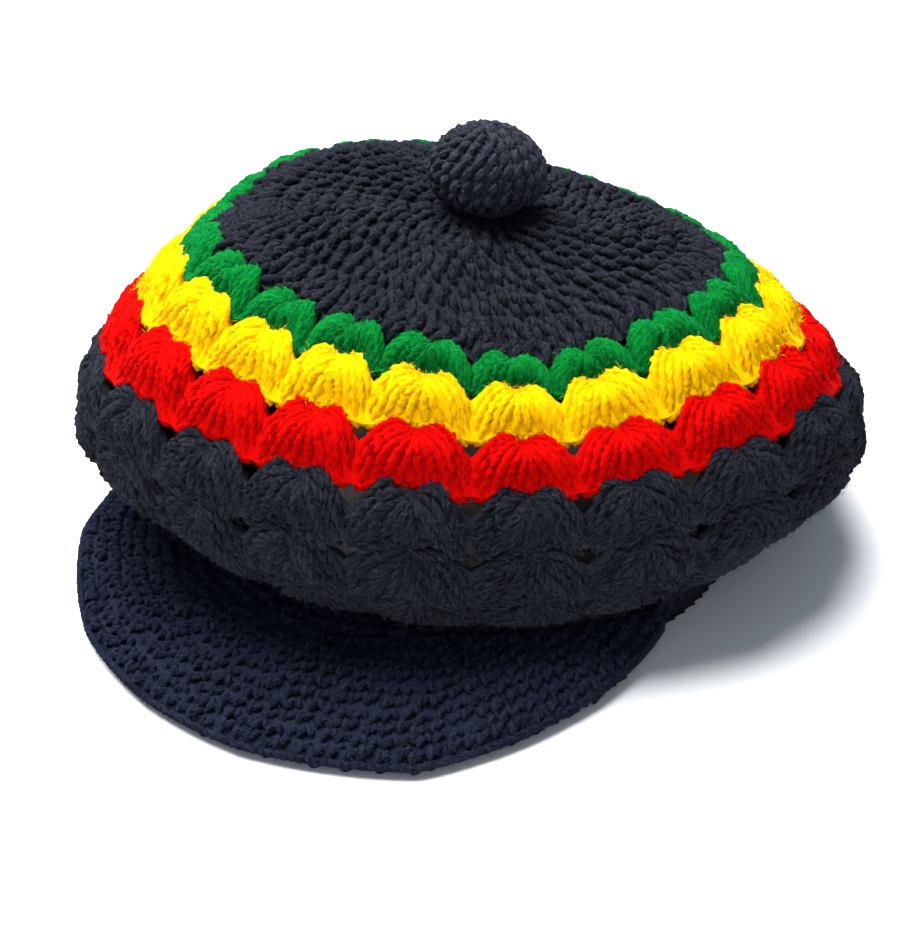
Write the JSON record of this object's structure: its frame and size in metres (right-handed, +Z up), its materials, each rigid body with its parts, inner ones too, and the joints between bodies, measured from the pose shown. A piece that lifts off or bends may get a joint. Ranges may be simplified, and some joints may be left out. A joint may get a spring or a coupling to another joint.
{
  "type": "rasta tam",
  "caption": "Crocheted slouch cap with a domed black crown, green, yellow and red rounds of shells, a rolled black rim, head band, thick peak and stuffed top button.",
  "frame": {"origin": "middle of the footprint of the box round the whole tam, on the surface it rests on", "axes": "+Z up through the crown, -Y to the front edge of the peak, +X to the left of someone who wears it"},
  "size_m": [0.282, 0.3046, 0.152],
  "materials": {
    "black_yarn": "soft crocheted acrylic yarn",
    "green_yarn": "soft crocheted acrylic yarn",
    "yellow_yarn": "soft crocheted acrylic yarn",
    "red_yarn": "soft crocheted acrylic yarn"
  },
  "bodies": {
    "root": {"top_button": "black_yarn", "crown_disc": "black_yarn", "green_round": "green_yarn", "yellow_round": "yellow_yarn", "red_round": "red_yarn", "black_round_1": "black_yarn", "black_round_2": "black_yarn", "black_round_3": "black_yarn", "black_round_4": "black_yarn", "head_band": "black_yarn", "peak": "black_yarn"}
  },
  "joints": []
}
